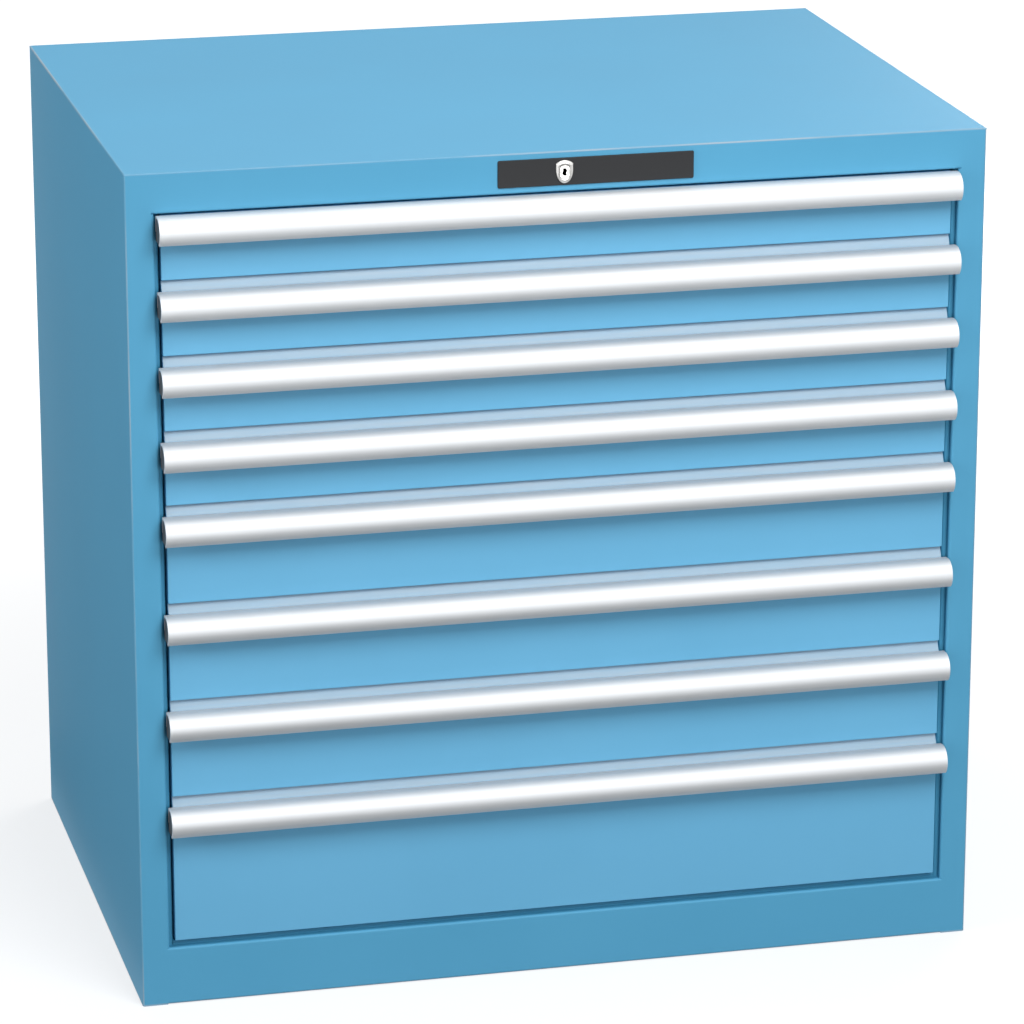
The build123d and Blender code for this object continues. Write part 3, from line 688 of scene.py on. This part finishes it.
# %% [markdown]
# ## Links, rollers and glides
# Another channel hangs in the housing on each side, and between the two runs a link of flat steel that moves
# half as far as the drawer. It has a roller and a glide in each channel: the roller carries the load, and the
# glide keeps the link level. Links and glides are plates with round ends. A roller is a section turned about
# its axle: hub, groove and a tyre with rounded shoulders.

# %% Make the links with their rollers and glides
link_inner, link_outer, link_half, link_corner = 387 * MM, 391 * MM, 8 * MM, 7.9 * MM
roller_width, roller_radius, roller_inset = 11.1 * MM, 11 * MM, 14 * MM
glide_half, glide_inset, glide_corner = 12 * MM, 214 * MM, 3 * MM
tyre = np.array([
    (0, 2.5), (0, 9.6), (1.0, 10.8), (2.0, 11.0), (9.1, 11.0), (10.1, 10.8), (11.1, 9.6), (11.1, 7.5),
    (9.6, 7.0), (9.6, 4.5), (11.1, 4.0), (11.1, 2.5),
]) * MM


def turned(section, centre, sides=40):
    """A closed section of (along X, radius) pairs turned about an axis through centre, parallel to X."""
    a = np.linspace(0, 2 * np.pi, sides, endpoint=False)[:, None]
    along, radius = section.T
    points = np.stack([
        np.broadcast_to(centre[0] + along, (sides, len(along))),
        centre[1] + radius * np.cos(a),
        centre[2] + radius * np.sin(a),
    ], axis=-1).reshape(-1, 3)
    return outward(points, [grid_faces(sides, len(along), True, True).reshape(-1, 4)])


def upright_slab(x_faces, y_span, level, half, corner):
    """A slab that stands along Y between two X faces, that far above and below a level."""
    (x0, x1), (y0, y1) = sorted(x_faces), y_span
    return slab((x0, y0, level - half), (x1, y1, level + half), corner, (0, 1, 2))


for k in drawers:
    low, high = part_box(f"drawer_{k}_slides")
    level = (low.z + high.z) / 2
    parts = []
    for side in (-1, 1):
        x_faces = side * link_inner, side * link_outer
        parts.append(upright_slab(x_faces, (low.y, high.y), level, link_half, link_corner))
        for face, away, roller_at, glide_at in (
            (link_outer, 1, high.y - roller_inset, high.y - glide_inset),
            (link_inner, -1, low.y + roller_inset, low.y + glide_inset),
        ):
            parts.append(turned(tyre * (side * away, 1), (side * face, roller_at, level)))
            x_faces = side * face, side * (face + away * roller_width)
            y_span = glide_at - glide_half, glide_at + glide_half
            parts.append(upright_slab(x_faces, y_span, level, roller_radius, glide_corner))
    make_piece(f"slide_links_{k}", joined(*parts), f"slides_{k}", f"drawer_{k}_slides", smooth_below=35)
print("made", len(drawers), "pairs of slide links")

# %% [markdown]
# ## The lock's shield
# Round the key is a small pressed shield with an arched top, straight sides and a half ellipse below. Its
# opening fits the lock's barrel, a round with two flats that keep it from turning. The outline is a line of
# arcs. In the same directions from the middle, the opening is as far as the flat or the round, whichever is
# nearer, and every point of the surface lies between the two. A section of share and height is carried round:
# back edge, rounded rim, flat, a ridge, a dish and the opening's wall.

# %% Make the shield
shoulder_rise, waist_rise, hole_flat, hole_radius = 8.3 * MM, 1.9 * MM, 4.65 * MM, 6.45 * MM
low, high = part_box("lock_shield")
side, crown, toe = high.x, high.z, low.z
middle = (crown + toe) / 2
shoulder, waist = middle + shoulder_rise, middle + waist_rise
rise = crown - shoulder
arch = (side ** 2 + rise ** 2) / (2 * rise)
arch_half = math.degrees(math.asin(side / arch))
below = np.radians(np.linspace(0, -90, 40))
right_edge = np.concatenate([
    around((0, crown - arch), arch, 90, 90 - arch_half, 24),
    np.linspace((side, shoulder), (side, waist), 16)[1:],
    np.stack([side * np.cos(below), waist + (waist - toe) * np.sin(below)], axis=1)[1:],
])
edge = np.concatenate([right_edge, (right_edge * (-1, 1))[-2:0:-1]])
away = edge - (0, middle)
away = away / np.linalg.norm(away, axis=1, keepdims=True)
to_flat = hole_flat / np.maximum(np.abs(away[:, :1]), 1e-9)
hole = np.array([(0, middle)]) + away * np.minimum(to_flat, hole_radius)
rim_turn = np.radians(np.linspace(0, 90, 9))
section = np.concatenate([
    [(1.0, 0.0)],
    np.stack([0.8 + 0.2 * np.cos(rim_turn), (0.6 + 1.0 * np.sin(rim_turn)) * MM], axis=1),
    [(0.56, 1.6 * MM), (0.46, 1.9 * MM), (0.40, 2.0 * MM), (0.34, 1.9 * MM)],
    [(0.03, 1.3 * MM), (0.0, 1.2 * MM), (0.0, 0.0)],
])


def pierced(edge, hole, section, back):
    """A ring between two matching lines: point (i, j) lies share j of the way from hole i to edge i, at
    height j in front of the back plane."""
    n, m = len(edge), len(section)
    flat = hole[:, None, :] + (edge - hole)[:, None, :] * section[None, :, :1]
    depth = np.broadcast_to(back - section[None, :, 1], (n, m))
    points = np.stack([flat[..., 0], depth, flat[..., 1]], axis=-1).reshape(-1, 3)
    return outward(points, [grid_faces(n, m, True, True).reshape(-1, 4)])


make_piece("key_shield", pierced(edge, hole, section, high.y), "housing", "lock_shield", smooth_below=50)
print("shield", len(edge), "by", len(section), "points")

# %% [markdown]
# ## The lock's plug
# The plug turns in the barrel and takes the key in a winding slot, so that only a key of that profile goes
# in. Round the slot a lead-in is milled, which guides the key. The slot's line goes up one side, across, down
# the other and back: its middle sways as a sine of the height. The plug's round has a point for each of the
# line's points, and the same ring is made between them. A square tang behind the plug carries the crank.

# %% Make the plug
slot_tall, slot_half, sway, sway_pitch, corner_turn = 6.6 * MM, 1.35 * MM, 0.5 * MM, 4.4 * MM, 18
tang_front, tang_half, tang_corner = -280 * MM, 2.6 * MM, 0.4 * MM
low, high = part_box("lock_plug")
middle, plug_long = (low.z + high.z) / 2, tang_front - low.y
climb = np.linspace(-slot_tall / 2, slot_tall / 2, 33)
across = np.linspace(-slot_half, slot_half, 9)[1:-1]
swing = sway * np.sin(2 * np.pi * climb / sway_pitch)
right_side = np.stack([swing + slot_half, climb], axis=1)
left_side = np.stack([swing - slot_half, climb], axis=1)
over = np.stack([swing[-1] - across, np.full(len(across), climb[-1])], axis=1)
under = np.stack([swing[0] + across, np.full(len(across), climb[0])], axis=1)
slot_line = np.concatenate([right_side, over, left_side[::-1], under])
turns = np.concatenate([
    np.linspace(corner_turn - 90, 90 - corner_turn, len(climb)),
    np.linspace(90 - corner_turn, 90 + corner_turn, len(across) + 2)[1:-1],
    np.linspace(90 + corner_turn, 270 - corner_turn, len(climb)),
    np.linspace(270 - corner_turn, 270 + corner_turn, len(across) + 2)[1:-1],
])
plug_round = high.x * np.stack([np.cos(np.radians(turns)), np.sin(np.radians(turns))], axis=1)
section = np.array([
    (1, 0), (1, plug_long - 0.25 * MM), (0.93, plug_long),
    (0.35, plug_long), (0, plug_long - 0.9 * MM), (0, 0),
])
plug = pierced(plug_round + (0, middle), slot_line + (0, middle), section, tang_front)
tang_low, tang_high = (tang_front, -tang_half, middle - tang_half), (high.y, tang_half, middle + tang_half)
tang = slab(tang_low, tang_high, tang_corner, (1, 0, 2))
make_piece("key_plug", joined(plug, tang), "lock_plug", "lock_plug", smooth_below=40)
print("plug", len(turns), "points round")

# %% [markdown]
# ## Floor and backdrop
# The picture has a white ground. The floor is a pale sheet whose colour fades to white away from the cabinet.
# It shows the camera and the reflections that white, while it throws only a moderate light back on the
# cabinet. Photographers of bright metal and gloss paint set up dark cards outside the picture, so that not
# everything mirrors white: here one lies in front, for the grips' undersides, and one lies and one stands by
# the left side. They are seen in reflections alone.

# %% Floor and backdrop
floor_reach, floor_level, card_level = 30.0, -0.0004, 0.001
fade_start, fade_stop, floor_near, floor_far, sky_fill = 0.6, 2.6, 0.70, 1.0, 0.20


def seen_directly(tree):
    """1 for rays from the camera and for those mirrored or let through by the object, 0 for soft light."""
    rays = add_node(tree, "ShaderNodeLightPath").outputs
    either = maths(tree, "MAXIMUM", rays["Is Camera Ray"], rays["Is Glossy Ray"])
    return maths(tree, "MAXIMUM", either, rays["Is Transmission Ray"])


def stage_sheet(name, corners, material):
    """A flat sheet of the studio with four corners, which is not part of the cabinet."""
    mesh = bpy.data.meshes.new(name)
    mesh.from_pydata(corners, [], [(0, 1, 2, 3)])
    mesh.materials.append(material)
    sheet = bpy.data.objects.new(name, mesh)
    bpy.context.scene.collection.objects.link(sheet)
    return sheet


def lying(x0, y0, x1, y1, z):
    """The four corners of a sheet that lies level."""
    return [(x0, y0, z), (x1, y0, z), (x1, y1, z), (x0, y1, z)]


paper, tree = empty_material("white_paper_sweep")
distance = vector_maths(tree, "LENGTH", place_on(tree))["Value"]
fade = stretched(
    tree, distance, floor_near, floor_far, fade_start, fade_stop, interpolation_type="SMOOTHSTEP")
soft = add_node(tree, "ShaderNodeBsdfDiffuse", {"Color": linear("#989A9C")})
white = add_node(tree, "ShaderNodeEmission", {"Strength": maths(tree, "MULTIPLY", fade, seen_directly(tree))})
finish_material(tree, add_node(tree, "ShaderNodeAddShader", {0: soft.outputs[0], 1: white.outputs[0]}))
stage_sheet("floor", lying(-floor_reach, -floor_reach, floor_reach, floor_reach, floor_level), paper)

card, tree = empty_material("dark_grey_card")
finish_material(tree, add_node(tree, "ShaderNodeEmission", {"Color": linear("#6E7072"), "Strength": 1.0}))
cards = {
    "front_card": lying(-1.2, -1.5, 1.2, -0.36, card_level),
    "left_card": lying(-1.8, -0.35, -0.46, 0.5, card_level),
    "side_card": [(-2.2, 0.5, 0.0), (-0.5, 0.5, 0.0), (-0.5, 0.5, 1.3), (-2.2, 0.5, 1.3)],
}
for name, corners in cards.items():
    sheet = stage_sheet(name, corners, card)
    sheet.visible_camera = sheet.visible_diffuse = sheet.visible_shadow = False

world = bpy.context.scene.world or bpy.data.worlds.new("studio")
bpy.context.scene.world = world
world.use_nodes = True
tree = world.node_tree
tree.nodes.clear()
strength = stretched(tree, seen_directly(tree), sky_fill, 1.0)
sky = add_node(tree, "ShaderNodeBackground", {"Color": linear("#FFFFFF"), "Strength": strength})
add_node(tree, "ShaderNodeOutputWorld", {"Surface": sky.outputs[0]})
print("floor and", len(cards), "cards ready")

# %% [markdown]
# ## Light
# A large soft box stands high in front and to the right, where the leaning edges mirror it, so the left side
# is in shade and each grip throws a soft shadow. Four weaker ones fill the lower front, the top, the left
# side, and the right side and back. Each has a place, a point that it looks at, a width, a depth and a power.

# %% Soft boxes
def soft_box(name, at, aim, width, depth, power):
    """A rectangular area lamp at a point, turned so that its face looks at another."""
    lamp = bpy.data.lights.new(name, "AREA")
    lamp.shape, lamp.size, lamp.size_y, lamp.energy = "RECTANGLE", width, depth, power
    away = np.array(at) - np.array(aim)
    away = away / np.linalg.norm(away)
    across = np.cross((0, 0, 1), away)
    across = across / np.linalg.norm(across)
    stand(bpy.data.objects.new(name, lamp), across, np.cross(away, across), away, at)


soft_boxes = {
    "front_soft_box": ((0.57, -2.38, 2.76), (0.0, -0.3, 0.45), 1.8, 1.6, 78),
    "low_soft_box": ((0.25, -3.0, 0.55), (0.0, -0.3, 0.2), 1.8, 0.7, 20),
    "top_soft_box": ((0.0, 0.6, 3.2), (0.0, 0.1, 0.85), 1.4, 1.4, 26),
    "left_soft_box": ((-3.0, -0.8, 1.6), (-0.43, 0.0, 0.4), 1.6, 1.6, 46),
    "rear_soft_box": ((2.2, 2.4, 1.0), (0.2, 0.2, 0.4), 1.6, 1.6, 55),
}
for name, values in soft_boxes.items():
    soft_box(name, *values)
bpy.context.scene.view_settings.view_transform = "Standard"
print("made", len(soft_boxes), "soft boxes")
